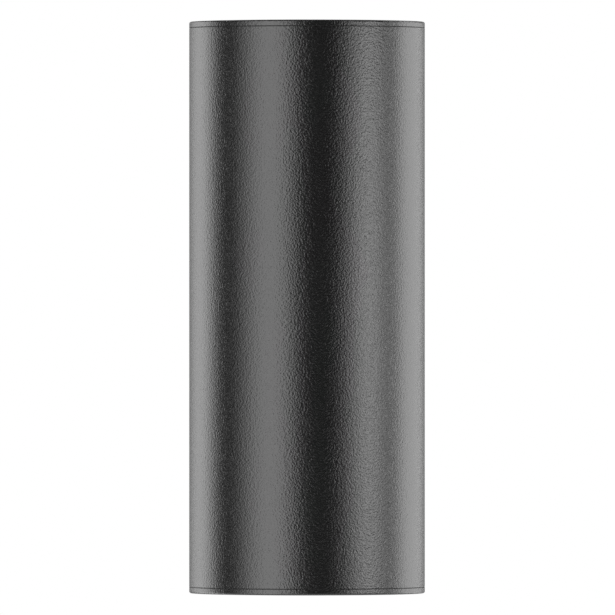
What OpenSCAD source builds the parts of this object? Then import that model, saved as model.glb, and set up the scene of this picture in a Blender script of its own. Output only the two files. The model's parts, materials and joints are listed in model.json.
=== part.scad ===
// Outdoor wall light that shines up and down, with a D-shaped aluminium housing.
// The wall is the plane y = 0, the light's front faces -Y and +Z is up.
// The origin is the centre of the wall screws, in the plane of the wall.

/* [Body] */
// Width of the housing along the wall
body_w = 99; // [90:1:120]
// Overall height over both end covers
body_h = 240; // [216:1:320]
// Overall depth from the wall to the front
body_d = 110; // [99:1:135]
// Wall thickness of the extruded housing
wall_t = 2.6; // [2:0.1:3]
// Depth of the wiring chamber, from the housing's rear edge to the partition
chamber_d = 26; // [25:1:28]
// Thickness of the partition between the wiring chamber and the lamp chamber
partition_t = 2.4; // [2:0.2:3]

/* [End covers] */
// Thickness of a cover's flange
flange_t = 2.4; // [2.2:0.1:3]
// Radius of the rounded edge of a cover's flange
edge_r = 0.8; // [0.6:0.1:2.2]
// Thickness of the seal between a cover and the housing
cover_seal_t = 0.4; // [0.3:0.1:0.8]
// Distance that the cover seal's edge stays back from the housing's face
cover_seal_inset = 0.35; // [0.2:0.05:0.6]
// Clearance between the glass seat and the walls in front of and behind it
seat_gap = 1.9; // [1.5:0.1:4]
// Chamfer round the outside of the window
window_chamfer = 0.9; // [0.4:0.1:1.4]
// Wall of the ring that holds the glass, below the flange
seat_wall = 1.8; // [1.4:0.1:2]
// Radius of the drain hole in the bottom cover
drain_r = 2.5; // [1.5:0.1:3]

/* [Cover screws] */
// Radius of the screw bosses that run along the housing
boss_r = 3.3; // [3:0.1:3.4]
// Angle of the two front bosses, measured from the front
boss_angle = 58; // [56:1:62]
// Radius of a cover screw's countersunk head
cover_head_r = 2.9; // [2.6:0.1:3]
// Radius of a cover screw's thread core
cover_core_r = 1.2; // [1:0.05:1.3]
// Length of a cover screw
cover_screw_l = 14; // [10:1:20]

/* [Optics] */
// Width of glass that the cover's flange overlaps
glass_lip = 3.5; // [2.5:0.1:3.5]
// Thickness of the glass
glass_t = 4; // [3:0.5:5]
// Thickness of the silicone ring above the glass
glass_seal_t = 1; // [0.8:0.1:1.5]
// Inner radius of the reflector at the light source
reflector_base_r = 9.4; // [8.5:0.1:11]
// Sheet thickness of the reflector
reflector_t = 1.2; // [0.8:0.1:1.5]

/* [Light source] */
// Thickness of the plastic holder over the light source
holder_t = 3.5; // [3.2:0.1:4.5]
// Width of the holder outside its screws' centres
holder_rim = 1.9; // [1.7:0.1:3]
// Radius of the circuit board
board_r = 12; // [11:0.5:12.5]
// Thickness of the circuit board
board_t = 1.5; // [1:0.1:1.6]
// Thickness of the thermal pad
pad_t = 0.4; // [0.2:0.1:0.5]
// Radius of the light-emitting surface
emitter_r = 6.5; // [4:0.5:7]
// Thickness of the light-emitting surface
emitter_t = 0.8; // [0.5:0.1:1]

/* [Heat sink] */
// Distance that the heat sink's edge stays inside the glass seat's outside
sink_inset = 3.6; // [2.5:0.1:8]
// Thickness of the heat sink's plate
sink_plate_t = 5; // [4:0.5:6]
// Height of the fins
fin_h = 12; // [6:1:13]
// Thickness of a fin
fin_t = 2; // [1.4:0.1:2.5]
// Distance from fin to fin
fin_pitch = 8; // [6:0.5:10]

/* [Driver] */
// Width of the driver
driver_w = 40; // [34:1:40]
// Depth of the driver
driver_d = 30; // [24:1:34]
// Length of the driver
driver_l = 84; // [70:1:86]
// Thickness of the driver's lid
driver_lid_t = 1.8; // [1.2:0.1:2.5]
// Room for wires between the driver's ends and the heat sinks' fins
wire_room = 11.5; // [10:0.5:16]

/* [Wall bracket] */
// Thickness of the bracket's sheet, and of the foam seal beside it
bracket_t = 2; // [1.5:0.1:2.5]
// Width of the bracket
bracket_w = 82; // [76:1:86]
// Height of the bracket
bracket_h = 190; // [170:1:210]
// Width of the cable opening in the bracket
entry_w = 46; // [40:1:48]
// Height of the cable opening in the bracket
entry_h = 64; // [50:1:90]
// Distance across between the wall screws
slot_pitch_x = 60; // [50:1:66]
// Distance in height between the wall screws
slot_pitch_z = 140; // [120:1:160]
// Length of a slot from end to end
slot_l = 12; // [8:0.5:14]
// Half the width of a slot
slot_r = 2.6; // [2.2:0.1:3]
// Reach of the bracket's side tabs from the wall
tab_reach = 18; // [16:0.5:20]
// Height of a side tab
tab_h = 30; // [20:1:40]

/* [Side screws] */
// Distance of the side screws from the wall
side_screw_y = 11; // [9:0.5:12]
// Radius of a side screw's countersunk head
side_head_r = 4; // [3.5:0.1:4.2]
// Radius of a side screw's thread core
side_core_r = 1.6; // [1.4:0.1:1.8]
// Length of a side screw
side_screw_l = 8; // [7:0.5:10]

/* [Terminal block] */
// Distance from one terminal to the next
pole_pitch = 6.6; // [6.2:0.1:7.5]
// Height of the terminal block
terminal_h = 18; // [17:0.5:22]
// Thickness of the terminal block's base
terminal_t = 8; // [7.6:0.1:9]
// Thickness of the fins beside the levers
terminal_fin_t = 1.1; // [0.9:0.1:1.3]
// Side of the square funnels for the supply wires
port_w = 3.8; // [3:0.1:4]
// Length of a lever from its pin
lever_l = 11; // [9:0.5:12]
// Thickness of a lever's arm
lever_t = 1.8; // [1.4:0.1:2]
// Radius of a lever's hub
lever_hub_r = 1.9; // [1.6:0.1:2.1]
// Radius of the levers' pin
pin_r = 0.8; // [0.6:0.05:0.9]

/* [Wiring] */
// Radius of the supply wires over their insulation
wire_r = 1.1; // [0.9:0.05:1.2]
// Radius of the light source's wires over their insulation
led_wire_r = 0.9; // [0.7:0.05:1]
// Radius of the hole for the grommet in the partition
grommet_r = 6; // [5.5:0.1:7]
// Clearance between the grommet's flange and the screw boss beside it
grommet_gap = 2.6; // [2:0.1:4]
// Height of the grommet's centre
grommet_z = 34; // [31:0.5:38]

/* [Hidden] */
$fn = 96;

// Clearance between pieces that fit into each other
fit = 0.3;
// Clearance of a screw's core in its hole
screw_fit = 0.05;
// Extra length of a cutting shape past the face that it cuts
cut = 1;

// Places of the housing's walls
half_w = body_w / 2;
inner_w = half_w - wall_t;
arc_y = half_w - body_d;
rear_y = -bracket_t;
partition_back_y = rear_y - chamber_d;
partition_front_y = partition_back_y - partition_t;
front_in_y = wall_t - body_d;
lamp_y = (partition_front_y + front_in_y) / 2;

// Heights in the upper half, counted from the middle of the light
top_z = body_h / 2;
flange_z = top_z - flange_t;
housing_z = flange_z - cover_seal_t;
glass_top_z = flange_z - glass_seal_t;
glass_z = glass_top_z - glass_t;
driver_end_z = driver_l / 2;
sink_low_z = driver_end_z + wire_room + fin_h;
sink_z = sink_low_z + sink_plate_t;
holder_top_z = sink_z + holder_t;
board_z = sink_z + pad_t;
emitter_z = board_z + board_t;

// Screw bosses, two beside the partition and two at the front
boss_merge = 0.7;
boss_in = boss_r - boss_merge;
boss_reach = inner_w - boss_in;
rear_bosses = [for (s = [-1, 1]) [s * boss_reach, partition_back_y + boss_in]];
front_bosses = [
    for (s = [-1, 1]) [s * boss_reach * sin(boss_angle), arc_y - boss_reach * cos(boss_angle)]
];
bosses = concat(rear_bosses, front_bosses);
screw_room = 0.5;
cover_hole_r = cover_core_r + screw_room;
cover_socket_r = 1.1;
side_socket_r = 1.5;
head_recess = 0.3;
head_fit = 0.1;
socket_depth = 1.3;

// Glass seat in a cover, as wide as the walls and the front bosses leave room for
boss_gap = 0.5;
lamp_room = (partition_front_y - front_in_y) / 2;
boss_room = norm(front_bosses[0] - [0, lamp_y]) - boss_r;
seat_out_r = min(lamp_room - seat_gap, boss_room - boss_gap);
seat_r = seat_out_r - seat_wall;
glass_r = seat_r - fit;
window_r = glass_r - glass_lip;
seat_skirt = 2;
seat_h = glass_seal_t + glass_t + seat_skirt;
glass_bevel = 0.4;
glass_seal_in = 0.4;

// Lips under a cover that close the back and guide it between the housing's sides
rear_lip_t = 2.6;
rear_lip_h = 6;
guide_t = 2;
guide_h = 4;
guide_back_gap = 3;
guide_front_gap = 5.1;

// Reflector, which fills the height from the holder to the glass
reflector_h = glass_z - holder_top_z;
reflector_out = 1.6;
reflector_top_r = window_r + reflector_out;
reflector_flange_t = 1.5;
reflector_steps = 16;

// Light source holder
holder_hole_in = 0.6;
holder_hole_r = reflector_base_r - holder_hole_in;
board_fit = 0.2;
holder_screw_r = 0.8;
holder_screw_head_r = 1.6;
holder_screw_head_h = 1.2;
holder_screw_grip = 3;
holder_screw_x = reflector_radius(1 / reflector_steps) + reflector_t + holder_screw_head_r + fit;
holder_r = holder_screw_x + holder_rim;
holder_box_w = 9;
holder_box_reach = 2;

// Heat sink and its legs, which are screwed to the partition
sink_r = seat_out_r - sink_inset;
fin_end = 1;
leg_x = 18;
leg_w = 14;
leg_t = 4;
leg_screw_drop = 12.5;
leg_drop = 18.5;
leg_z = sink_z - leg_screw_drop;
leg_low_z = sink_z - leg_drop;
sink_tap = 4;
pan_head_r = 2.8;
pan_head_h = 2.2;
m3_core_r = 1.2;
m3_hole_r = m3_core_r + screw_room;

// Driver
driver_corner_r = 3;
ear_r = 4;
ear_t = 2.4;
ear_out = 3;
ear_x = driver_w / 2 + ear_out;
ear_z = 30;
driver_screw_tip = 0.6;

// Wall bracket
bracket_corner_r = 6;
entry_corner_r = 8;
tab_gap = 0.8;
side_hole_r = side_core_r + screw_room;
tab_out_x = inner_w - tab_gap;
seal_corner_r = 2;
seal_inset = 0.4;

// Terminal block
poles = [-pole_pitch, 0, pole_pitch];
terminal_w = 3 * pole_pitch + terminal_fin_t;
terminal_top_z = terminal_h / 2;
terminal_face_y = partition_back_y + terminal_t;
wire_height = 4.4;
wire_y = partition_back_y + wire_height;
hub_gap = 0.3;
hub_drop = 3;
fin_past_hub = 2.2;
hub_y = terminal_face_y + lever_hub_r + hub_gap;
hub_z = terminal_top_z - hub_drop;
terminal_fin_h = lever_hub_r + hub_gap + fin_past_hub;
lever_side_gap = 0.2;
lever_w = pole_pitch - terminal_fin_t - 2 * lever_side_gap;
lever_inner_y = lever_hub_r - lever_t;
lever_lip_t = 1.6;
lever_lip_h = 3;
pin_fit_fixed = 0.02;
pin_fit_turning = 0.06;
terminal_ear_w = 6;
terminal_ear_h = 8;
terminal_ear_t = 2.4;
terminal_ear_x = terminal_w / 2 + terminal_ear_w / 2;
m25_core_r = 1;
m25_head_r = 2.2;
m25_head_h = 1.6;
m25_hole_r = 1.2;
m25_short = 0.2;
m25_screw_l = terminal_ear_t + partition_t - m25_short;
port_depth = 10;

// Grommet beside the rear screw boss
grommet_flange_t = 1.4;
grommet_flange_w = 2.4;
grommet_front_flange_w = 1.4;
grommet_hole_pitch = 4;
grommet_fit = 0.05;
grommet_x = boss_reach - boss_r - grommet_gap - grommet_r - grommet_flange_w;

// The driver stands beside the grommet
driver_gap = 2.6;
driver_x = grommet_x - grommet_r - grommet_front_flange_w - driver_gap - driver_w / 2;

// Earth screw and lug
earth_x = 28;
earth_z = -22;
earth_head_r = 3.8;
earth_head_h = 2.6;
earth_core_r = 1.6;
lug_t = 0.8;
lug_r = 4.2;
lug_hole_r = 2.1;
lug_barrel_t = 0.7;
lug_barrel_r = wire_r + lug_barrel_t;
lug_barrel_l = 8;
lug_web_rise = 5;
lug_web_z = earth_z + lug_web_rise;
lug_web_t = 1.4;
lug_cup_t = 0.5;
earth_screw_tip = 2;

// Vent plug, below the lower heat sink
vent_x = 0;
vent_drop = 14;
vent_z = -sink_z - vent_drop;
vent_r = 4;
vent_head_r = 6.5;
vent_head_h = 3.5;
vent_nut_r = 6.5;
vent_nut_t = 2.5;
vent_crown = 1;
vent_tip = 1;

// Wire routes
wire_bend = 3;
led_wire_bend = 2.4;
wire_in_block = 5;
live_depth = 13.6;
neutral_depth = 8.1;
led_rise_depth = 2.8;
live_y = partition_front_y - live_depth;
neutral_y = partition_front_y - neutral_depth;
led_rise_y = partition_front_y - led_rise_depth;
live_x = 8;
neutral_x = 3;
earth_rise = 7;
turn_room = 5.5;
led_turn_room = 5;
turn_z = driver_end_z + turn_room;
led_turn_z = driver_end_z + led_turn_room;
led_xs = [-3, -7];
led_wire_in = 3;
led_wire_rise = holder_t / 2;
holder_box_x = (led_xs[0] + led_xs[1]) / 2;

// Colours
coat = [0.17, 0.17, 0.18];
silicone = [0.08, 0.08, 0.08];
steel = [0.72, 0.72, 0.74];
alloy = [0.82, 0.83, 0.85];
white = [0.93, 0.93, 0.92];

// Shapes that more than one piece uses

module lower_half(r) {
    intersection() {
        circle(r);
        translate([-r - cut, -r - cut]) square([2 * (r + cut), r + cut]);
    }
}

// D outline of the housing, set in from its faces by inset
module d_outline(inset = 0) {
    w = half_w - inset;
    translate([0, arc_y]) lower_half(w);
    translate([-w, arc_y]) square([2 * w, rear_y - arc_y]);
}

module lamp_chamber_outline() {
    difference() {
        d_outline(wall_t);
        translate([-body_w, partition_front_y]) square([2 * body_w, body_d]);
    }
}

module housing_outline(inset = 0) {
    difference() {
        d_outline(inset);
        lamp_chamber_outline();
        translate([-inner_w, partition_back_y]) square([2 * inner_w, chamber_d + cut]);
    }
}

module rounded_rectangle(w, h, r) {
    square([w - 2 * r, h], center = true);
    square([w, h - 2 * r], center = true);
    for (x = [-1, 1], y = [-1, 1])
        translate([x * (w / 2 - r), y * (h / 2 - r)]) circle(r);
}

module slot_outline(l, r) {
    square([l - 2 * r, 2 * r], center = true);
    for (s = [-1, 1])
        translate([s * (l / 2 - r), 0]) circle(r);
}

module boss_outlines() {
    intersection() {
        union() {
            for (b = bosses)
                translate(b) circle(boss_r, $fn = 48);
            for (b = rear_bosses)
                translate([b[0] > 0 ? b[0] : b[0] - boss_in, b[1] - boss_in])
                    square(boss_in);
        }
        d_outline(wall_t / 2);
    }
}

// Cylinder along +Y from y0 to y1 at the height z
module y_cylinder(x, z, y0, y1, r) {
    translate([x, y1, z]) rotate([90, 0, 0]) cylinder(h = y1 - y0, r = r);
}

// Extrusion of an outline drawn in x and z, from y0 to y1
module y_extrude(y0, y1) {
    translate([0, y1, 0]) rotate([90, 0, 0]) linear_extrude(y1 - y0) children();
}

// Screws point down, with the foot of the head's rim at the origin
module countersunk_screw(head_r, core_r, length, socket_r) {
    difference() {
        union() {
            cylinder(h = head_recess, r = head_r, $fn = 48);
            translate([0, 0, core_r - head_r])
                cylinder(h = head_r - core_r, r1 = core_r, r2 = head_r, $fn = 48);
            translate([0, 0, -length]) cylinder(h = length, r = core_r, $fn = 48);
        }
        translate([0, 0, head_recess - socket_depth])
            cylinder(h = socket_depth + cut, r = socket_r, $fn = 6);
    }
}

module countersunk_hole(head_r, hole_r, depth) {
    rim_r = head_r + head_fit;
    cylinder(h = depth, r = rim_r, $fn = 48);
    translate([0, 0, hole_r - rim_r])
        cylinder(h = rim_r - hole_r, r1 = hole_r, r2 = rim_r, $fn = 48);
    translate([0, 0, -depth]) cylinder(h = depth, r = hole_r, $fn = 48);
}

module pan_screw(head_r, head_h, core_r, length) {
    difference() {
        union() {
            cylinder(h = head_h * 0.6, r = head_r, $fn = 48);
            translate([0, 0, head_h * 0.6])
                cylinder(h = head_h * 0.4, r1 = head_r, r2 = head_r * 0.72, $fn = 48);
            translate([0, 0, -length]) cylinder(h = length, r = core_r, $fn = 48);
        }
        translate([0, 0, head_h * 0.45]) cylinder(h = head_h, r = head_r * 0.45, $fn = 6);
    }
}

function unit(v) = v / norm(v);

// Round wire through the points, with every corner turned at the radius bend
module wire(points, r, bend) {
    last = len(points) - 1;
    for (i = [0 : last - 1]) {
        d = unit(points[i + 1] - points[i]);
        from = points[i] + (i == 0 ? 0 : bend) * d;
        to = points[i + 1] - (i == last - 1 ? 0 : bend) * d;
        straight(from, to, r);
    }
    for (i = [1 : last - 1])
        elbow(points[i], unit(points[i] - points[i - 1]), unit(points[i + 1] - points[i]), r, bend);
}

module straight(from, to, r) {
    d = unit(to - from);
    side = unit(cross(d, abs(d[2]) > 0.9 ? [1, 0, 0] : [0, 0, 1]));
    up = cross(d, side);
    axes(side, up, d, from) cylinder(h = norm(to - from), r = r, $fn = 32);
}

// Quarter turn from direction d1 to direction d2, which stand at right angles
module elbow(corner, d1, d2, r, bend) {
    axes(-d2, d1, cross(-d2, d1), corner - bend * d1 + bend * d2)
        rotate_extrude(angle = 90, $fn = 48) translate([bend, 0]) circle(r, $fn = 32);
}

module axes(x, y, z, at) {
    multmatrix([
        [x[0], y[0], z[0], at[0]],
        [x[1], y[1], z[1], at[1]],
        [x[2], y[2], z[2], at[2]],
        [0, 0, 0, 1]
    ]) children();
}

module below() {
    mirror([0, 0, 1]) children();
}

// Housing

module housing() {
    color(coat) difference() {
        linear_extrude(2 * housing_z, center = true) {
            housing_outline();
            boss_outlines();
        }
        for (b = bosses)
            translate([b[0], b[1], -body_h / 2])
                cylinder(h = body_h, r = cover_core_r + screw_fit, $fn = 48);
        partition_holes();
        for (s = [-1, 1])
            translate([s * half_w, -side_screw_y, 0]) rotate([0, s * 90, 0])
                translate([0, 0, -head_recess])
                    countersunk_hole(side_head_r, side_hole_r, wall_t + cut);
    }
}

module partition_holes() {
    y0 = partition_front_y - cut;
    y1 = partition_back_y + cut;
    y_cylinder(grommet_x, grommet_z, y0, y1, grommet_r);
    y_cylinder(vent_x, vent_z, y0, y1, vent_r);
    y_cylinder(earth_x, earth_z, y0, y1, earth_core_r + screw_fit, $fn = 48);
    for (x = [-leg_x, leg_x], z = [-leg_z, leg_z])
        y_cylinder(x, z, y0, y1, m3_hole_r, $fn = 48);
    for (s = [-1, 1])
        y_cylinder(driver_x + s * ear_x, -s * ear_z, y0, y1, m3_core_r + screw_fit, $fn = 48);
    for (s = [-1, 1])
        y_cylinder(s * terminal_ear_x, 0, y0, y1, m25_core_r + screw_fit, $fn = 48);
}

// End covers

// Half of the flange's section, with a quarter round at its outer edge
module flange_section() {
    square([half_w - edge_r, flange_t]);
    square([half_w, flange_t - edge_r]);
    intersection() {
        translate([half_w - edge_r, flange_t - edge_r]) circle(edge_r);
        square([half_w, flange_t]);
    }
}

// D-shaped flange whose upper edge is rounded at the sides and the front
module cover_flange() {
    translate([0, arc_y, 0]) rotate([0, 0, 180])
        rotate_extrude(angle = 180) flange_section();
    translate([0, rear_y, 0]) rotate([90, 0, 0]) linear_extrude(rear_y - arc_y) {
        flange_section();
        mirror([1, 0]) flange_section();
    }
}

module cover(drain = false) {
    guide_l = partition_front_y - guide_back_gap - arc_y - guide_front_gap;
    difference() {
        union() {
            translate([0, 0, flange_z]) cover_flange();
            translate([0, lamp_y, flange_z - seat_h])
                cylinder(h = seat_h, r = seat_r + seat_wall);
            translate([fit - inner_w, rear_y - rear_lip_t, flange_z - rear_lip_h])
                cube([2 * (inner_w - fit), rear_lip_t, rear_lip_h]);
            for (s = [0, 1])
                mirror([s, 0, 0])
                    translate([
                        inner_w - fit - guide_t,
                        arc_y + guide_front_gap,
                        flange_z - guide_h
                    ])
                        cube([guide_t, guide_l, guide_h]);
        }
        translate([0, lamp_y, flange_z - seat_h - cut])
            cylinder(h = seat_h + cut, r = seat_r);
        translate([0, lamp_y, flange_z - cut])
            cylinder(h = flange_t + 2 * cut, r = window_r);
        translate([0, lamp_y, top_z - window_chamfer])
            cylinder(h = window_chamfer + cut, r1 = window_r, r2 = window_r + window_chamfer + cut);
        for (b = bosses)
            translate([b[0], b[1], top_z - head_recess])
                countersunk_hole(cover_head_r, cover_hole_r, flange_t + cut);
        if (drain)
            translate([0, (rear_y + partition_back_y) / 2, flange_z - cut])
                cylinder(h = flange_t + 2 * cut, r = drain_r, $fn = 48);
    }
}

module cover_seal() {
    translate([0, 0, housing_z]) linear_extrude(cover_seal_t) difference() {
        union() {
            housing_outline(cover_seal_inset);
            boss_outlines();
        }
        for (b = bosses)
            translate(b) circle(cover_hole_r, $fn = 48);
    }
}

module cover_screws() {
    for (b = bosses)
        translate([b[0], b[1], top_z - head_recess])
            countersunk_screw(cover_head_r, cover_core_r, cover_screw_l, cover_socket_r);
}

module top_cover() { color(coat) cover(); }
module bottom_cover() { color(coat) below() cover(drain = true); }
module top_cover_seal() { color(silicone) cover_seal(); }
module bottom_cover_seal() { color(silicone) below() cover_seal(); }
module top_cover_screws() { color(steel) cover_screws(); }
module bottom_cover_screws() { color(steel) below() cover_screws(); }

// Glass, its seal and the reflector

module glass() {
    in_r = glass_r - glass_bevel;
    translate([0, lamp_y, glass_z]) rotate_extrude() polygon([
        [0, 0], [in_r, 0], [glass_r, glass_bevel], [glass_r, glass_t - glass_bevel],
        [in_r, glass_t], [0, glass_t]
    ]);
}

module glass_seal() {
    translate([0, lamp_y, glass_top_z]) difference() {
        cylinder(h = glass_seal_t, r = glass_r);
        translate([0, 0, -cut]) cylinder(h = glass_seal_t + 2 * cut, r = window_r + glass_seal_in);
    }
}

// Radius of the parabola at the share t of the reflector's height
function reflector_radius(t) =
    sqrt(pow(reflector_base_r, 2) + t * (pow(reflector_top_r, 2) - pow(reflector_base_r, 2)));

module reflector() {
    bowl_h = reflector_h - reflector_flange_t;
    shares = [for (i = [0 : reflector_steps]) i / reflector_steps];
    inner = [for (t = shares) [reflector_radius(t), t * bowl_h]];
    outer = [for (t = shares) [reflector_radius(t) + reflector_t, t * bowl_h]];
    flange = [
        [glass_r, bowl_h], [glass_r, reflector_h],
        [reflector_radius(1), reflector_h]
    ];
    reversed = [for (i = [reflector_steps : -1 : 0]) inner[i]];
    translate([0, lamp_y, holder_top_z])
        rotate_extrude() polygon(concat(outer, flange, reversed));
}

module top_glass() { color([0.75, 0.85, 0.85, 0.35]) glass(); }
module bottom_glass() { color([0.75, 0.85, 0.85, 0.35]) below() glass(); }
module top_glass_seal() { color(silicone) glass_seal(); }
module bottom_glass_seal() { color(silicone) below() glass_seal(); }
module top_reflector() { color(alloy) reflector(); }
module bottom_reflector() { color(alloy) below() reflector(); }

// Light source

module led_holder() {
    translate([0, lamp_y, sink_z]) difference() {
        union() {
            cylinder(h = holder_t, r = holder_r);
            translate([holder_box_x - holder_box_w / 2, 0, 0])
                cube([holder_box_w, holder_r + holder_box_reach, holder_t]);
        }
        for (x = led_xs)
            translate([x, holder_r + holder_box_reach - led_wire_in, led_wire_rise])
                rotate([-90, 0, 0])
                    cylinder(h = led_wire_in + cut, r = led_wire_r + screw_fit, $fn = 32);
        translate([0, 0, -cut]) cylinder(h = holder_t + 2 * cut, r = holder_hole_r);
        translate([0, 0, -cut]) cylinder(h = pad_t + board_t + cut, r = board_r + board_fit);
        for (s = [-1, 1])
            translate([s * holder_screw_x, 0, -cut])
                cylinder(h = holder_t + 2 * cut, r = holder_screw_r + board_fit, $fn = 32);
    }
}

module led_holder_screw_pair() {
    for (s = [-1, 1])
        translate([s * holder_screw_x, lamp_y, holder_top_z])
            pan_screw(holder_screw_head_r, holder_screw_head_h, holder_screw_r,
                holder_t + holder_screw_grip);
}

module led_board() {
    translate([0, lamp_y, board_z]) cylinder(h = board_t, r = board_r);
}

module led_emitter() {
    translate([0, lamp_y, emitter_z]) cylinder(h = emitter_t, r = emitter_r);
}

module thermal_pad() {
    translate([0, lamp_y, sink_z]) cylinder(h = pad_t, r = board_r);
}

module top_led_holder() { color(white) led_holder(); }
module bottom_led_holder() { color(white) below() led_holder(); }
module led_holder_screws() {
    color(steel) led_holder_screw_pair();
    color(steel) below() led_holder_screw_pair();
}
module top_led_board() { color(white) led_board(); }
module bottom_led_board() { color(white) below() led_board(); }
module top_led_emitter() { color([0.95, 0.8, 0.2]) led_emitter(); }
module bottom_led_emitter() { color([0.95, 0.8, 0.2]) below() led_emitter(); }
module top_thermal_pad() { color([0.6, 0.62, 0.66]) thermal_pad(); }
module bottom_thermal_pad() { color([0.6, 0.62, 0.66]) below() thermal_pad(); }

// Heat sink

module heat_sink() {
    fins = floor((sink_r - fin_t) / fin_pitch);
    difference() {
        union() {
            translate([0, lamp_y, sink_low_z]) cylinder(h = sink_plate_t, r = sink_r);
            for (i = [-fins : fins]) {
                half_l = sqrt(pow(sink_r, 2) - pow(abs(i) * fin_pitch + fin_t / 2, 2)) - fin_end;
                translate([i * fin_pitch - fin_t / 2, lamp_y - half_l, sink_low_z - fin_h])
                    cube([fin_t, 2 * half_l, fin_h + cut]);
            }
            for (s = [-1, 1])
                translate([s * leg_x - leg_w / 2, lamp_y, sink_low_z])
                    cube([leg_w, partition_front_y - lamp_y, sink_plate_t]);
            for (s = [-1, 1])
                translate([s * leg_x - leg_w / 2, partition_front_y - leg_t, leg_low_z])
                    cube([leg_w, leg_t, sink_z - leg_low_z]);
        }
        for (s = [-1, 1])
            y_cylinder(s * leg_x, leg_z, partition_front_y - leg_t - cut, partition_front_y + cut,
                m3_core_r + screw_fit, $fn = 48);
        for (s = [-1, 1])
            translate([s * holder_screw_x, lamp_y, sink_z - sink_tap])
                cylinder(h = sink_tap + cut, r = holder_screw_r + screw_fit, $fn = 32);
    }
}

module top_heat_sink() { color(alloy) heat_sink(); }
module bottom_heat_sink() { color(alloy) below() heat_sink(); }

module heat_sink_screws() {
    color(steel)
        for (x = [-leg_x, leg_x], z = [-leg_z, leg_z])
            translate([x, partition_back_y, z]) rotate([-90, 0, 0])
                pan_screw(pan_head_r, pan_head_h, m3_core_r, partition_t + leg_t);
}

// Driver

module driver_outline() {
    translate([driver_x, 0]) rounded_rectangle(driver_w, driver_l, driver_corner_r);
}

module driver_case() {
    lid_y = partition_front_y - driver_d + driver_lid_t;
    color([0.9, 0.9, 0.88]) difference() {
        union() {
            y_extrude(lid_y, partition_front_y) driver_outline();
            for (s = [-1, 1]) {
                y_cylinder(driver_x + s * ear_x, -s * ear_z, partition_front_y - ear_t,
                    partition_front_y, ear_r, $fn = 48);
                translate([
                    s > 0 ? driver_x : driver_x - ear_x,
                    partition_front_y - ear_t,
                    -s * ear_z - ear_r
                ])
                    cube([ear_x, ear_t, 2 * ear_r]);
            }
        }
        for (s = [-1, 1])
            y_cylinder(driver_x + s * ear_x, -s * ear_z, partition_front_y - ear_t - cut,
                partition_front_y + cut, m3_hole_r, $fn = 48);
    }
}

module driver_lid() {
    y0 = partition_front_y - driver_d;
    color([0.8, 0.8, 0.78]) y_extrude(y0, y0 + driver_lid_t) driver_outline();
}

module driver_screws() {
    color(steel)
        for (s = [-1, 1])
            translate([driver_x + s * ear_x, partition_front_y - ear_t, -s * ear_z])
                rotate([90, 0, 0])
                    pan_screw(pan_head_r, pan_head_h, m3_core_r,
                        ear_t + partition_t + driver_screw_tip);
}

// Wall bracket, its seal and the side screws

module bracket_outline() {
    difference() {
        union() {
            rounded_rectangle(bracket_w, bracket_h, bracket_corner_r);
            square([2 * tab_out_x, tab_h], center = true);
        }
        rounded_rectangle(entry_w, entry_h, entry_corner_r);
        for (x = [-1, 1], z = [-1, 1])
            translate([x * slot_pitch_x / 2, z * slot_pitch_z / 2]) slot_outline(slot_l, slot_r);
    }
}

module wall_bracket() {
    color(steel) difference() {
        union() {
            y_extrude(-bracket_t, 0) bracket_outline();
            for (s = [0, 1])
                mirror([s, 0, 0])
                    translate([tab_out_x - bracket_t, -tab_reach, -tab_h / 2])
                        cube([bracket_t, tab_reach, tab_h]);
        }
        translate([-half_w, -side_screw_y, 0]) rotate([0, 90, 0])
            cylinder(h = body_w, r = side_core_r + screw_fit, $fn = 48);
    }
}

module wall_seal() {
    color([0.12, 0.12, 0.12]) y_extrude(-bracket_t, 0) difference() {
        rounded_rectangle(body_w - 2 * seal_inset, body_h - 2 * seal_inset, seal_corner_r);
        square([2 * inner_w, 2 * (flange_z - rear_lip_h)], center = true);
    }
}

module side_screws() {
    color(steel)
        for (s = [-1, 1])
            translate([s * (half_w - head_recess), -side_screw_y, 0]) rotate([0, s * 90, 0])
                countersunk_screw(side_head_r, side_core_r, side_screw_l, side_socket_r);
}

// Terminal block with its levers

module terminal_block() {
    color([0.8, 0.81, 0.8]) difference() {
        union() {
            translate([-terminal_w / 2, partition_back_y, -terminal_h / 2])
                cube([terminal_w, terminal_t, terminal_h]);
            for (i = [0 : 3])
                translate([
                    i * pole_pitch - terminal_w / 2, terminal_face_y - cut, -terminal_h / 2
                ])
                    cube([terminal_fin_t, terminal_fin_h + cut, terminal_h]);
            translate([
                -terminal_w / 2 - terminal_ear_w, partition_back_y, -terminal_ear_h / 2
            ])
                cube([terminal_w + 2 * terminal_ear_w, terminal_ear_t, terminal_ear_h]);
        }
        translate([-terminal_w, hub_y, hub_z]) rotate([0, 90, 0])
            cylinder(h = 2 * terminal_w, r = pin_r + pin_fit_fixed, $fn = 48);
        for (x = poles) {
            translate([x - port_w / 2, wire_y - port_w / 2, -terminal_h / 2 - cut])
                cube([port_w, port_w, port_depth + cut]);
            translate([x, wire_y, terminal_top_z - wire_in_block])
                cylinder(h = wire_in_block + cut, r = wire_r + screw_fit, $fn = 32);
        }
        for (s = [-1, 1])
            y_cylinder(s * terminal_ear_x, 0, partition_back_y - cut, hub_y, m25_hole_r,
                $fn = 48);
    }
}

module terminal_screws() {
    color(steel)
        for (s = [-1, 1])
            translate([s * terminal_ear_x, partition_back_y + terminal_ear_t, 0])
                rotate([-90, 0, 0]) pan_screw(m25_head_r, m25_head_h, m25_core_r, m25_screw_l);
}

module lever_pin() {
    color(steel) translate([-terminal_w / 2, hub_y, hub_z]) rotate([0, 90, 0])
        cylinder(h = terminal_w, r = pin_r, $fn = 48);
}

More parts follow.
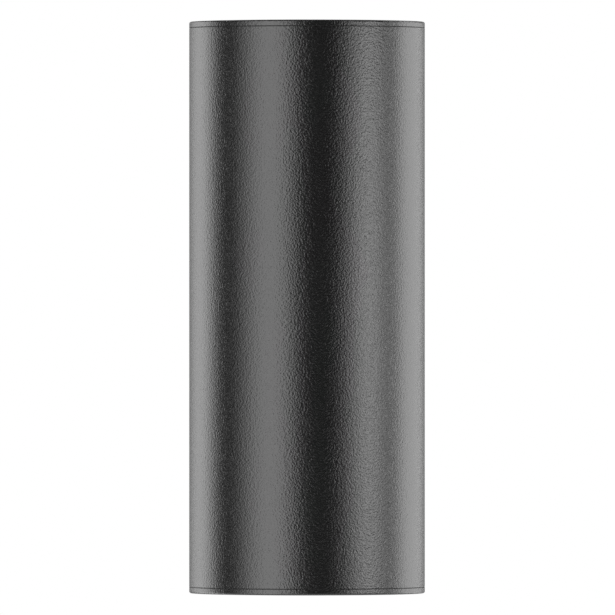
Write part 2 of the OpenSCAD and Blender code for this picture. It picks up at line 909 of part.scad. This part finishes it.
// Lever in y and z, with its hub at the origin and its arm hanging down
module lever_outline() {
    difference() {
        union() {
            circle(lever_hub_r, $fn = 48);
            translate([lever_inner_y, -lever_l]) square([lever_t, lever_l]);
            translate([lever_inner_y, -lever_l]) square([lever_lip_h, lever_lip_t]);
        }
        circle(pin_r + pin_fit_turning, $fn = 48);
    }
}

module lever(pole) {
    color([0.93, 0.42, 0.08])
        translate([poles[pole] - lever_w / 2, hub_y, hub_z]) rotate([90, 0, 90])
            linear_extrude(lever_w) lever_outline();
}

module live_lever() { lever(0); }
module neutral_lever() { lever(1); }
module earth_lever() { lever(2); }

// Wiring

module partition_grommet() {
    hole_r = wire_r + screw_fit;
    y_back = partition_back_y + grommet_flange_t;
    y_front = partition_front_y - grommet_flange_t;
    color(silicone) difference() {
        union() {
            y_cylinder(grommet_x, grommet_z, partition_back_y, y_back,
                grommet_r + grommet_flange_w);
            y_cylinder(grommet_x, grommet_z, y_front, y_back, grommet_r - grommet_fit);
            y_cylinder(grommet_x, grommet_z, y_front, partition_front_y,
                grommet_r + grommet_front_flange_w);
        }
        for (s = [-1, 1])
            y_cylinder(grommet_x, grommet_z + s * grommet_hole_pitch / 2, y_front - cut,
                y_back + cut, hole_r, $fn = 32);
    }
}

// Route from a terminal through the grommet to the driver's lower end
function supply_route(x, z, run_y, end_x) = [
    [x, wire_y, terminal_top_z - wire_in_block],
    [x, wire_y, z],
    [grommet_x, wire_y, z],
    [grommet_x, run_y, z],
    [grommet_x, run_y, -turn_z],
    [end_x, run_y, -turn_z],
    [end_x, run_y, -driver_end_z]
];

module live_wire() {
    color([0.35, 0.18, 0.08])
        wire(supply_route(poles[0], grommet_z + grommet_hole_pitch / 2, live_y, live_x),
            wire_r, wire_bend);
}

module neutral_wire() {
    color([0.1, 0.25, 0.7])
        wire(supply_route(poles[1], grommet_z - grommet_hole_pitch / 2, neutral_y, neutral_x),
            wire_r, wire_bend);
}

module earth_wire() {
    rise_z = terminal_top_z + earth_rise;
    foot_z = lug_web_z + lug_web_t + 2 * lug_cup_t;
    color([0.45, 0.65, 0.1])
        wire([
            [poles[2], wire_y, terminal_top_z - wire_in_block],
            [poles[2], wire_y, rise_z],
            [earth_x, wire_y, rise_z],
            [earth_x, wire_y, foot_z]
        ], wire_r, wire_bend);
}

module earth_lug() {
    color([0.85, 0.85, 0.82]) difference() {
        union() {
            y_cylinder(earth_x, earth_z, partition_back_y, partition_back_y + lug_t, lug_r,
                $fn = 48);
            translate([earth_x - lug_barrel_r, partition_back_y, earth_z])
                cube([2 * lug_barrel_r, lug_t, lug_web_z + lug_web_t - earth_z]);
            translate([earth_x - lug_barrel_r, partition_back_y, lug_web_z])
                cube([2 * lug_barrel_r, wire_y - partition_back_y + lug_barrel_r, lug_web_t]);
            translate([earth_x, wire_y, lug_web_z + lug_web_t / 2])
                cylinder(h = lug_barrel_l, r = lug_barrel_r, $fn = 48);
        }
        y_cylinder(earth_x, earth_z, partition_back_y - cut, partition_back_y + lug_t + cut,
            lug_hole_r, $fn = 48);
        translate([earth_x, wire_y, lug_web_z + lug_web_t + lug_cup_t])
            cylinder(h = lug_barrel_l + cut, r = wire_r + screw_fit, $fn = 32);
    }
}

module earth_screw() {
    color(steel) translate([earth_x, partition_back_y + lug_t, earth_z]) rotate([-90, 0, 0])
        pan_screw(earth_head_r, earth_head_h, earth_core_r,
            lug_t + partition_t + earth_screw_tip);
}

module vent_plug() {
    y_back = partition_back_y + vent_head_h;
    color([0.1, 0.1, 0.1]) {
        y_cylinder(vent_x, vent_z, partition_back_y, y_back - vent_crown, vent_head_r, $fn = 6);
        y_cylinder(vent_x, vent_z, y_back - vent_crown, y_back, vent_head_r - vent_crown);
        y_cylinder(vent_x, vent_z, partition_front_y - vent_nut_t - vent_tip, y_back - vent_crown,
            vent_r - screw_fit);
    }
}

module vent_nut() {
    y0 = partition_front_y - vent_nut_t;
    color([0.1, 0.1, 0.1]) difference() {
        y_cylinder(vent_x, vent_z, y0, partition_front_y, vent_nut_r, $fn = 6);
        y_cylinder(vent_x, vent_z, y0 - cut, partition_front_y + cut, vent_r);
    }
}

// Wire from the driver's upper end into the box on the light source's holder
module led_wire(x) {
    z = sink_z + led_wire_rise;
    wire([
        [x, neutral_y, driver_end_z],
        [x, neutral_y, led_turn_z],
        [x, led_rise_y, led_turn_z],
        [x, led_rise_y, z],
        [x, lamp_y + holder_r + holder_box_reach - led_wire_in, z]
    ], led_wire_r, led_wire_bend);
}

module led_positive_wires() {
    color([0.75, 0.08, 0.06]) {
        led_wire(led_xs[0]);
        below() led_wire(led_xs[0]);
    }
}

module led_negative_wires() {
    color([0.06, 0.06, 0.06]) {
        led_wire(led_xs[1]);
        below() led_wire(led_xs[1]);
    }
}

housing();
top_cover();
bottom_cover();
top_cover_seal();
bottom_cover_seal();
top_cover_screws();
bottom_cover_screws();
top_glass();
bottom_glass();
top_glass_seal();
bottom_glass_seal();
top_reflector();
bottom_reflector();
top_led_holder();
bottom_led_holder();
led_holder_screws();
top_led_board();
bottom_led_board();
top_led_emitter();
bottom_led_emitter();
top_thermal_pad();
bottom_thermal_pad();
top_heat_sink();
bottom_heat_sink();
heat_sink_screws();
driver_case();
driver_lid();
driver_screws();
wall_bracket();
wall_seal();
side_screws();
terminal_block();
terminal_screws();
lever_pin();
live_lever();
neutral_lever();
earth_lever();
partition_grommet();
live_wire();
neutral_wire();
earth_wire();
earth_lug();
earth_screw();
vent_plug();
vent_nut();
led_positive_wires();
led_negative_wires();
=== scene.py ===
import json
import math

import bmesh
import bpy
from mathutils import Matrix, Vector


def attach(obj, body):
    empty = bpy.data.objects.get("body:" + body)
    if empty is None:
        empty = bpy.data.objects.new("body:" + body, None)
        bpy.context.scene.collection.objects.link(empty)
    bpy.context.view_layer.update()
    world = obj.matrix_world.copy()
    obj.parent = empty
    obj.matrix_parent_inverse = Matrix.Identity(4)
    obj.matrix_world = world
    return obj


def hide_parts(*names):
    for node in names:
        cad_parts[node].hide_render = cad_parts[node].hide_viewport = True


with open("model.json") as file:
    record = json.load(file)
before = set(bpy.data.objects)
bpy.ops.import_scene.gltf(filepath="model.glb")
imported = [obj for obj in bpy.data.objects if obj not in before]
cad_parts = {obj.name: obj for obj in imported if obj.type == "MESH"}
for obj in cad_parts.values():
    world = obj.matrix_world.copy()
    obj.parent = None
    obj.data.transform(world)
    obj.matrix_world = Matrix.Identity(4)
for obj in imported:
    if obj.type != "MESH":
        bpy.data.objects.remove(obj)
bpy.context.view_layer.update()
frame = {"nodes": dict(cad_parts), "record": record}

BODY = "fixture"
MM = 0.001

# Places that the finer pieces share with the CAD model, in metres
LAMP_Y = -68.9 * MM
BOWL_LOW_Z = 74.0 * MM
BOWL_HIGH_Z = 112.6 * MM
BOWL_FLANGE = 1.5 * MM
BOWL_LOW_R = 9.4 * MM
BOWL_HIGH_R = 32.6 * MM
BOWL_EDGE_R = 34.5 * MM
BOWL_SHEET = 1.2 * MM
CHIP_LOW_Z = 72.4 * MM
CHIP_HIGH_Z = 73.2 * MM
CHIP_R = 6.5 * MM
HUB_Y = -17.8 * MM
HUB_Z = 6.0 * MM
POLES = {"live": -6.6 * MM, "neutral": 0.0, "earth": 6.6 * MM}
LEVER_WIDTH = 5.1 * MM
EARTH_WIRE_Y = -22.85 * MM


# Materials

class Surface:
    """One procedural material, and the nodes that drive its Principled shader."""

    def __init__(self, name, **constants):
        self.material = bpy.data.materials.new(name)
        self.material.use_nodes = True
        self.tree = self.material.node_tree
        self.shader = self.tree.nodes["Principled BSDF"]
        for socket, value in constants.items():
            self.shader.inputs[socket.replace("_", " ")].default_value = value
        self.place = self.node("ShaderNodeTexCoord").outputs["Object"]
        self.normal = None

    def node(self, kind, inputs=None, **settings):
        made = self.tree.nodes.new(kind)
        for key, value in settings.items():
            setattr(made, key, value)
        for socket, value in (inputs or {}).items():
            if isinstance(value, bpy.types.NodeSocket):
                self.tree.links.new(value, made.inputs[socket])
            else:
                made.inputs[socket].default_value = value
        return made

    def calc(self, operation, first, second):
        return self.node("ShaderNodeMath", {0: first, 1: second}, operation=operation).outputs[0]

    def stretched(self, stretch):
        return self.node("ShaderNodeMapping", {"Vector": self.place, "Scale": stretch}).outputs[0]

    def noise(self, scale, detail=2.0, stretch=(1, 1, 1)):
        inputs = {"Vector": self.stretched(stretch), "Scale": scale, "Detail": detail}
        return self.node("ShaderNodeTexNoise", inputs).outputs[0]

    def cells(self, scale, output="Distance", stretch=(1, 1, 1)):
        inputs = {"Vector": self.stretched(stretch), "Scale": scale}
        return self.node("ShaderNodeTexVoronoi", inputs).outputs[output]

    def mapped(self, value, low, high, span=(0.3, 0.7)):
        """value with the range span turned into the range from low to high."""
        inputs = {"Value": value, "From Min": span[0], "From Max": span[1]}
        inputs.update({"To Min": low, "To Max": high})
        return self.node("ShaderNodeMapRange", inputs).outputs[0]

    def ramp(self, value, first, second, span=(0.3, 0.7)):
        """Colour between first and second, as value runs through the range span."""
        made = self.node("ShaderNodeValToRGB", {"Fac": value})
        for element, position, colour in zip(made.color_ramp.elements, span, (first, second)):
            element.position = position
            element.color = (*colour, 1)
        return made.outputs["Color"]

    def painted_shade_in_corners(self, colour, reach):
        """The same colour with painted shade: darker in sockets and corners, where shade falls."""
        settings = {"samples": 8, "only_local": True}
        open_share = self.node("ShaderNodeAmbientOcclusion", {"Distance": reach}, **settings)
        shade = self.mapped(open_share.outputs["AO"], 0.12, 1.0, (0.35, 0.85))
        inputs = {0: colour, "Scale": shade}
        return self.node("ShaderNodeVectorMath", inputs, operation="SCALE").outputs["Vector"]

    def drive(self, socket, value):
        self.tree.links.new(value, self.shader.inputs[socket])

    def colour(self, value, first, second, span=(0.3, 0.7)):
        self.drive("Base Color", self.ramp(value, first, second, span))

    def gloss(self, value, low, high, span=(0.3, 0.7)):
        self.drive("Roughness", self.mapped(value, low, high, span))

    def rounded(self, radius):
        """Edges that catch the light as if they were rounded."""
        self.normal = self.node("ShaderNodeBevel", {"Radius": radius}, samples=4).outputs[0]

    def bump(self, height, distance):
        inputs = {"Height": height, "Distance": distance}
        if self.normal:
            inputs["Normal"] = self.normal
        self.normal = self.node("ShaderNodeBump", inputs).outputs[0]

    def finished(self):
        if self.normal:
            self.drive("Normal", self.normal)
        return self.material


def near(colour, share):
    """The same colour, darker or lighter by a share."""
    return tuple(min(1.0, part * (1 + share)) for part in colour)


def powder_coat():
    s = Surface("powder_coat", Roughness=0.15, Specular_IOR_Level=1.0)
    grain = s.noise(1350, 2)
    s.colour(grain, (0.0092, 0.0092, 0.0092), (0.0134, 0.0134, 0.0134))
    s.gloss(s.noise(600), 0.13, 0.17)
    s.bump(grain, 0.185 * MM)
    return s.finished()


def moulded(name, colour, roughness, grain=2200, depth=0.012 * MM):
    """Moulded plastic or rubber with a fine grain and slightly uneven gloss."""
    s = Surface(name, Roughness=roughness)
    s.colour(s.noise(300, 3), near(colour, -0.06), near(colour, 0.05))
    s.gloss(s.noise(900), roughness - 0.05, roughness + 0.05)
    s.rounded(0.2 * MM)
    s.bump(s.noise(grain), depth)
    return s.finished()


def stainless():
    s = Surface("stainless", Metallic=1.0, Roughness=0.34)
    lines = s.noise(260, 3, (1, 1, 9))
    steel = s.ramp(lines, (0.31, 0.31, 0.315), (0.41, 0.405, 0.40))
    # Painted shade: the steel's colour is darkened in the screws' sockets and corners
    s.drive("Base Color", s.painted_shade_in_corners(steel, 3 * MM))
    s.gloss(s.noise(1800), 0.29, 0.42)
    s.rounded(0.15 * MM)
    s.bump(lines, 0.004 * MM)
    return s.finished()


def clear_glass():
    """Flat glass: clear face on, and more of a mirror towards grazing angles."""
    s = Surface("clear_glass", Metallic=1.0, Roughness=0.02)
    s.colour(s.noise(60), (0.88, 0.95, 0.92), (0.93, 0.97, 0.95))
    s.gloss(s.noise(150, 4), 0.01, 0.04)
    slant = s.node("ShaderNodeLayerWeight", {"Blend": 0.5}).outputs["Facing"]
    s.drive("Alpha", s.mapped(s.calc("POWER", slant, 5.0), 0.045, 1.0, (0.0, 1.0)))
    return s.finished()


def reflector_metal():
    """Bright anodised sheet, with the slight haze of its oxide layer."""
    s = Surface("reflector_metal", Metallic=0.68, Roughness=0.14)
    s.colour(s.noise(200), (0.8, 0.81, 0.82), (0.87, 0.87, 0.88))
    s.gloss(s.noise(800, 3), 0.12, 0.17)
    s.bump(s.noise(700, 2), 0.004 * MM)
    return s.finished()


def board_white():
    s = Surface("board_white", Roughness=0.35)
    weave = s.noise(1400, 3)
    s.colour(weave, (0.8, 0.8, 0.78), (0.88, 0.88, 0.86))
    s.gloss(weave, 0.3, 0.42)
    s.bump(weave, 0.006 * MM)
    return s.finished()


def phosphor():
    """Yellow silicone, in which the diodes below show as faint cells."""
    s = Surface("phosphor", Roughness=0.32)
    diodes = s.cells(900, stretch=(1, 1, 0.01))
    s.colour(diodes, (0.78, 0.5, 0.06), (0.93, 0.7, 0.14), (0.1, 0.55))
    s.gloss(s.noise(700), 0.26, 0.38)
    s.bump(s.noise(900), 0.01 * MM)
    return s.finished()


def heat_sink_metal():
    s = Surface("heat_sink_metal", Metallic=1.0, Roughness=0.42)
    s.colour(s.noise(120, 4), (0.6, 0.61, 0.62), (0.74, 0.75, 0.76))
    cast = s.noise(900, 4)
    s.gloss(cast, 0.36, 0.52)
    s.rounded(0.35 * MM)
    s.bump(cast, 0.03 * MM)
    return s.finished()


def galvanised():
    """Zinc-coated sheet: fine crystals of slightly different greys, with faint rolling lines."""
    s = Surface("galvanised", Metallic=1.0, Roughness=0.46)
    crystals = s.cells(430, "Color", (1, 1, 0.8))
    tone = s.node("ShaderNodeRGBToBW", {"Color": crystals}).outputs[0]
    lines = s.noise(900, 3, (1, 1, 0.04))
    blend = s.calc("ADD", s.calc("MULTIPLY", tone, 0.55), s.calc("MULTIPLY", lines, 0.45))
    s.colour(blend, (0.37, 0.377, 0.385), (0.48, 0.487, 0.495), (0.25, 0.75))
    s.gloss(tone, 0.42, 0.54, (0.1, 0.9))
    s.rounded(0.3 * MM)
    s.bump(s.noise(1100, 3), 0.01 * MM)
    return s.finished()


def foam():
    s = Surface("foam", Roughness=0.85)
    pores = s.cells(1300)
    s.colour(pores, (0.012, 0.012, 0.012), (0.045, 0.045, 0.047), (0.1, 0.6))
    s.gloss(pores, 0.95, 0.78, (0.1, 0.6))
    s.bump(pores, 0.12 * MM)
    return s.finished()


def earth_stripes():
    """Insulation that is green in front of the wire's own plane and yellow behind it."""
    s = Surface("wire_green_yellow", Roughness=0.35)
    parts = s.node("ShaderNodeSeparateXYZ", {"Vector": s.place})
    drift = s.mapped(s.noise(40, 0), -0.1 * MM, 0.1 * MM)
    behind = s.calc("GREATER_THAN", s.calc("ADD", parts.outputs["Y"], drift), EARTH_WIRE_Y)
    s.colour(behind, (0.02, 0.24, 0.05), (0.8, 0.62, 0.02), (0.0, 1.0))
    s.gloss(s.noise(900), 0.3, 0.42)
    s.bump(s.noise(600), 0.01 * MM)
    return s.finished()


def tinned():
    s = Surface("tinned", Metallic=1.0, Roughness=0.3)
    s.colour(s.noise(500, 3), (0.58, 0.57, 0.55), (0.74, 0.73, 0.71))
    s.gloss(s.noise(900, 3), 0.24, 0.42)
    s.rounded(0.15 * MM)
    s.bump(s.noise(800, 3), 0.01 * MM)
    return s.finished()


# Slots of moulded plastic and rubber: colour and roughness, and for some the scale of the
# grain and its depth
MOULDED = {
    "silicone": ((0.02, 0.02, 0.02), 0.55, 1500, 0.01 * MM),
    "white_plastic": ((0.8, 0.8, 0.78), 0.42),
    "pad_grey": ((0.4, 0.42, 0.45), 0.6, 1800, 0.015 * MM),
    "driver_plastic": ((0.74, 0.74, 0.71), 0.5),
    "lid_plastic": ((0.66, 0.66, 0.63), 0.5),
    "terminal_grey": ((0.55, 0.56, 0.55), 0.36),
    "lever_orange": ((0.85, 0.22, 0.02), 0.32),
    "wire_brown": ((0.13, 0.05, 0.02), 0.35),
    "wire_blue": ((0.02, 0.1, 0.45), 0.35),
    "wire_red": ((0.45, 0.02, 0.015), 0.35),
    "wire_black": ((0.015, 0.015, 0.015), 0.38),
    "vent_plastic": ((0.02, 0.02, 0.02), 0.5),
}
OTHERS = {
    "powder_coat": powder_coat,
    "stainless": stainless,
    "clear_glass": clear_glass,
    "reflector_metal": reflector_metal,
    "board_white": board_white,
    "phosphor": phosphor,
    "heat_sink_metal": heat_sink_metal,
    "galvanised": galvanised,
    "foam": foam,
    "wire_green_yellow": earth_stripes,
    "tinned": tinned,
}


def make_materials():
    made = {slot: moulded(slot, *values) for slot, values in MOULDED.items()}
    made.update({slot: make() for slot, make in OTHERS.items()})
    return made


# Finer pieces, in place of CAD nodes

def add_piece(name, mesh, slot, replaced, body=BODY):
    """Turns a bmesh into a piece on a body that stands for a CAD node."""
    bmesh.ops.recalc_face_normals(mesh, faces=mesh.faces)
    data = bpy.data.meshes.new(name)
    mesh.to_mesh(data)
    mesh.free()
    data.materials.append(materials[slot])
    piece = bpy.data.objects.new(name, data)
    bpy.context.scene.collection.objects.link(piece)
    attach(piece, body)
    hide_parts(replaced)
    return piece


def ring_of_points(mesh, radius, z, steps, turn=0.0):
    """Vertices round the lamp's axis; turn is a share of one step."""
    points = []
    for i in range(steps):
        a = 2 * math.pi * (i + turn) / steps
        points.append(mesh.verts.new((radius * math.cos(a), LAMP_Y + radius * math.sin(a), z)))
    return points


def join_rings(mesh, lower, upper):
    steps = len(lower)
    for i in range(steps):
        j = (i + 1) % steps
        mesh.faces.new((lower[i], lower[j], upper[j], upper[i])).smooth = True


BOWL_STEPS = 40
BOWL_ROWS = 16


def bowl_profile(side):
    """Radius and height of each row of the bowl's inner wall, which is a paraboloid."""
    rise = BOWL_HIGH_Z - BOWL_FLANGE - BOWL_LOW_Z
    rows = []
    for k in range(BOWL_ROWS + 1):
        square = BOWL_LOW_R**2 + (BOWL_HIGH_R**2 - BOWL_LOW_R**2) * k / BOWL_ROWS
        rows.append((math.sqrt(square), side * (BOWL_LOW_Z + rise * k / BOWL_ROWS)))
    return rows


def add_diamonds(mesh, rings):
    """Flat facets over rings that are turned by half a step against each other."""
    last = len(rings) - 1
    for k in range(-1, last):
        odd = k % 2
        for i in range(BOWL_STEPS):
            j = (i + odd) % BOWL_STEPS
            low = rings[k][j] if k >= 0 else None
            high = rings[k + 2][j] if k + 2 <= last else None
            left, right = rings[k + 1][j - 1 + odd], rings[k + 1][(j + odd) % BOWL_STEPS]
            mesh.faces.new([point for point in (low, right, high, left) if point])


def faceted_bowl(prefix, side):
    """Reflector bowl whose inner wall is made of flat diamond facets."""
    mesh = bmesh.new()
    rows = bowl_profile(side)
    high, flange = side * BOWL_HIGH_Z, rows[-1][1]
    inner = [ring_of_points(mesh, r, z, BOWL_STEPS, 0.5 * (k % 2)) for k, (r, z) in enumerate(rows)]
    add_diamonds(mesh, inner)
    lip = ring_of_points(mesh, BOWL_HIGH_R, high, BOWL_STEPS, 0.5 * (BOWL_ROWS % 2))
    edge_high = ring_of_points(mesh, BOWL_EDGE_R, high, BOWL_STEPS)
    edge_low = ring_of_points(mesh, BOWL_EDGE_R, flange, BOWL_STEPS)
    outer = [ring_of_points(mesh, r + BOWL_SHEET, z, BOWL_STEPS) for r, z in rows]
    rings = [inner[-1], lip, edge_high, edge_low, *reversed(outer), inner[0]]
    for first, second in zip(rings, rings[1:]):
        join_rings(mesh, first, second)
    add_piece(f"{prefix}_bowl", mesh, "reflector_metal", f"{prefix}_reflector")


CHIP_STEPS = 64


def turned(name, profile, slot, replaced):
    """Solid turned round the lamp's axis from (radius, height) points; a radius of 0 is a pole."""
    mesh = bmesh.new()
    rings = [
        [mesh.verts.new((0, LAMP_Y, z))] if r == 0 else ring_of_points(mesh, r, z, CHIP_STEPS)
        for r, z in profile
    ]
    if profile[0][0] and profile[-1][0]:
        rings.append(rings[0])
    for lower, upper in zip(rings, rings[1:]):
        if len(lower) == 1 or len(upper) == 1:
            pole, ring = (lower, upper) if len(lower) == 1 else (upper, lower)
            for i in range(CHIP_STEPS):
                mesh.faces.new((pole[0], ring[i], ring[(i + 1) % CHIP_STEPS])).smooth = True
        else:
            join_rings(mesh, lower, upper)
    add_piece(name, mesh, slot, replaced)


DAM_WIDTH = 0.7 * MM
DAM_CROWN = 0.2 * MM
DAM_STEPS = 8
FILL_DROP = 0.3 * MM
DOME_RISE = 0.2 * MM
DOME_STEPS = 6


def dome_profile(side):
    """Phosphor from the board to its slightly domed surface, from pole to pole."""
    radius = CHIP_R - DAM_WIDTH
    fill_z = side * (CHIP_HIGH_Z - FILL_DROP)
    points = [(0, side * CHIP_LOW_Z), (radius, side * CHIP_LOW_Z), (radius, fill_z)]
    for k in range(1, DOME_STEPS + 1):
        inwards = k / DOME_STEPS
        rise = side * DOME_RISE * (1 - (1 - inwards) ** 2)
        points.append((radius * (1 - inwards), fill_z + rise))
    return points


def dam_profile(side):
    """Low wall round the phosphor, with a half-round top."""
    half = DAM_WIDTH / 2
    inner_r, shoulder = CHIP_R - DAM_WIDTH, side * (CHIP_HIGH_Z - DAM_CROWN)
    points = [(CHIP_R, side * CHIP_LOW_Z), (inner_r, side * CHIP_LOW_Z)]
    for k in range(DAM_STEPS + 1):
        a = math.pi * k / DAM_STEPS
        rise = side * DAM_CROWN * math.sin(a)
        points.append((inner_r + half - half * math.cos(a), shoulder + rise))
    return points


def light_chip(prefix, side):
    """Domed phosphor inside a low white dam."""
    node = f"{prefix}_led_emitter"
    turned(f"{prefix}_phosphor", dome_profile(side), "phosphor", node)
    turned(f"{prefix}_dam", dam_profile(side), "white_plastic", node)


LEVER_EDGE = 0.25 * MM
LEVER_WELD = 0.002 * MM
SHARP_ANGLE = math.radians(35)

# Arcs of a lever seen from the side, in millimetres from its hub: y and z of the centre, radius,
# first and last angle in degrees, and steps. They are the hub, the heel, the lower and upper
# edges of the lip, and the corner between the lip and the arm
LEVER_ARCS = [
    (0, 0, 1.9, 0, 273, 40),
    (0.6, -10.5, 0.5, 180, 270, 6),
    (2.5, -10.4, 0.6, 270, 360, 6),
    (2.6, -9.8, 0.5, 0, 90, 6),
    (2.5, -8.7, 0.6, 270, 180, 6),
]
GRIP_GROOVES = 4
GROOVE_PITCH = 0.9
LOWEST_GROOVE = (1.95, -7.6, 0.3, 260, 100, 8)
PIN_HOLE = (0, 0, 0.86, 0, 345, 23)


def arc_points(y, z, radius, start, end, steps):
    """Points on an arc in y and z, its angles in degrees."""
    angles = [math.radians(start + (end - start) * i / steps) for i in range(steps + 1)]
    return [(y + radius * math.cos(a), z + radius * math.sin(a)) for a in angles]


def lever_outline():
    points = [point for arc in LEVER_ARCS for point in arc_points(*arc)]
    y, z, *groove = LOWEST_GROOVE
    for k in range(GRIP_GROOVES):
        points += arc_points(y, z + GROOVE_PITCH * k, *groove)
    return points


def add_loop(curve, points):
    loop = curve.splines.new("POLY")
    loop.points.add(len(points) - 1)
    loop.use_cyclic_u = True
    for point, (y, z) in zip(loop.points, points):
        point.co = (y * MM, z * MM, 0, 1)


def lever_blank(name):
    """Extruded lever with rounded edges, lying flat with its hub at the origin."""
    curve = bpy.data.curves.new(name, "CURVE")
    curve.dimensions = "2D"
    curve.fill_mode = "BOTH"
    curve.extrude = LEVER_WIDTH / 2 - LEVER_EDGE
    curve.bevel_depth = LEVER_EDGE
    curve.bevel_resolution = 3
    curve.offset = -LEVER_EDGE
    add_loop(curve, lever_outline())
    add_loop(curve, arc_points(*PIN_HOLE))
    flat = bpy.data.objects.new(name, curve)
    mesh = bmesh.new()
    mesh.from_mesh(flat.to_mesh())
    flat.to_mesh_clear()
    bpy.data.objects.remove(flat)
    bmesh.ops.remove_doubles(mesh, verts=mesh.verts, dist=LEVER_WELD)
    return mesh


def lever(pole):
    """Moulded lever in its place in the terminal block, on its own body."""
    mesh = lever_blank(f"{pole}_lever_outline")
    for vertex in mesh.verts:
        y, z, x = vertex.co
        vertex.co = (POLES[pole] + x, HUB_Y + y, HUB_Z + z)
    mesh.normal_update()
    for face in mesh.faces:
        face.smooth = abs(face.normal.x) < 0.99
    node, body = f"{pole}_lever", f"{pole}_lever_body"
    piece = add_piece(f"{pole}_lever_moulding", mesh, "lever_orange", node, body)
    piece.data.set_sharp_from_angle(angle=SHARP_ANGLE)


# Stage, light and camera

CENTRE = Vector((0, -0.06, 0))
ROOM_R = 1.0
SOFTBOX_STEP = 0.01

# Softboxes round the light, which overlap so that their edges fade: azimuth from the front
# towards +X and width, both in degrees, height in metres, and radiance
SOFTBOXES = [
    (-127, 47, 1.4, 1.10),
    (-114, 49, 1.4, 0.34),
    (-120, 24, 1.4, 0.69),
    (-42, 60, 1.4, 0.65),
    (-36, 60, 1.4, 0.20),
    (-36, 36, 1.4, 1.14),
    (62, 52, 0.5, 1.20),
    (51, 18, 1.4, 0.32),
    (63, 18, 0.5, 1.75),
    (107, 50, 1.4, 0.31),
    (123, 54, 1.4, 1.49),
    (111, 18, 1.4, 0.63),
    (180, 66, 1.4, 0.34),
]
# Softboxes overhead: name, place from the centre, width and depth in metres, and radiance
OVERHEAD = [
    ("softbox_above", (0, 0, 1.1), 1.6, 1.6, 0.2),
    ("softbox_behind", (0, 0.95, 1.1), 1.6, 1.1, 0.8),
]
ROOM_GLOW = 0.03
BACKDROP_WHITE = 1.0

FLOOR_Z = -1.1
FLOOR_R = 5.5
FLOOR_FADE = (1.2, 5.0)
FLOOR_GLOW = 0.72

CAMERA_PLACE = (0.0002, -5.86, 0)
CAMERA_LENS = 808


def area_light(name, place, width, height, radiance):
    data = bpy.data.lights.new(name, "AREA")
    data.shape = "RECTANGLE"
    data.size = width
    data.size_y = height
    data.energy = radiance * math.pi * width * height
    light = bpy.data.objects.new(name, data)
    light.location = place
    light.rotation_euler = (CENTRE - place).to_track_quat("-Z", "Y").to_euler()
    light.visible_camera = False
    bpy.context.scene.collection.objects.link(light)


def make_lights():
    """Softboxes, each a little further out than the one before, so that none hides another."""
    for number, (azimuth, width, height, radiance) in enumerate(SOFTBOXES):
        a = math.radians(azimuth)
        away = ROOM_R + number * SOFTBOX_STEP
        place = CENTRE + away * Vector((math.sin(a), -math.cos(a), 0))
        span = 2 * away * math.tan(math.radians(width / 2))
        area_light(f"softbox_{number}", place, span, height, radiance)
    for name, offset, width, depth, radiance in OVERHEAD:
        area_light(name, CENTRE + Vector(offset), width, depth, radiance)


def make_world():
    """White for the camera and nearly dark for reflections."""
    world = bpy.data.worlds.new("studio")
    bpy.context.scene.world = world
    world.use_nodes = True
    nodes, links = world.node_tree.nodes, world.node_tree.links
    rays = nodes.new("ShaderNodeLightPath")
    strength = nodes.new("ShaderNodeMapRange")
    strength.inputs["To Min"].default_value = ROOM_GLOW
    strength.inputs["To Max"].default_value = BACKDROP_WHITE
    links.new(rays.outputs["Is Camera Ray"], strength.inputs["Value"])
    links.new(strength.outputs[0], nodes["Background"].inputs["Strength"])
    nodes["Background"].inputs["Color"].default_value = (1, 1, 1, 1)


def open_floor(surface):
    """Lets the floor fade out towards its rim, and a camera below it see the light."""
    from_below = surface.node("ShaderNodeNewGeometry").outputs["Backfacing"]
    away = surface.node("ShaderNodeVectorMath", {0: surface.place}, operation="LENGTH")
    faded = surface.mapped(away.outputs["Value"], 0.0, 1.0, FLOOR_FADE)
    clear = surface.node("ShaderNodeBsdfTransparent").outputs[0]
    share = surface.calc("MAXIMUM", from_below, faded)
    inputs = {0: share, 1: surface.shader.outputs[0], 2: clear}
    mixed = surface.node("ShaderNodeMixShader", inputs).outputs[0]
    surface.tree.links.new(mixed, surface.tree.nodes["Material Output"].inputs["Surface"])


def make_floor():
    mesh = bmesh.new()
    bmesh.ops.create_circle(mesh, cap_ends=True, radius=FLOOR_R, segments=96)
    data = bpy.data.meshes.new("floor")
    mesh.to_mesh(data)
    mesh.free()
    floor = bpy.data.objects.new("floor", data)
    floor.location.z = FLOOR_Z
    s = Surface("pale_floor", Roughness=0.8, Emission_Strength=FLOOR_GLOW)
    s.shader.inputs["Emission Color"].default_value = (1, 1, 1, 1)
    s.colour(s.noise(2), (0.19, 0.19, 0.19), (0.21, 0.21, 0.21))
    data.materials.append(s.finished())
    open_floor(s)
    bpy.context.scene.collection.objects.link(floor)


def make_camera():
    data = bpy.data.cameras.new("camera")
    data.lens = CAMERA_LENS
    data.sensor_width = 36
    data.clip_end = 50
    camera = bpy.data.objects.new("camera", data)
    camera.location = CAMERA_PLACE
    camera.rotation_euler = (math.radians(90), 0, 0)
    bpy.context.scene.collection.objects.link(camera)
    bpy.context.scene.camera = camera


def dress_cad_nodes():
    for row in frame["record"]["subparts"]:
        data = frame["nodes"][row["node"]].data
        data.materials.clear()
        data.materials.append(materials[row["material_slot"]])


make_camera()
materials = make_materials()
dress_cad_nodes()
for prefix, side in (("top", 1), ("bottom", -1)):
    faceted_bowl(prefix, side)
    light_chip(prefix, side)
for pole in POLES:
    lever(pole)
make_world()
make_lights()
make_floor()
bpy.context.scene.view_settings.view_transform = "Standard"
# The denoiser's usual prefilter takes the coat's fine grain for noise
bpy.context.scene.cycles.denoising_prefilter = "NONE"
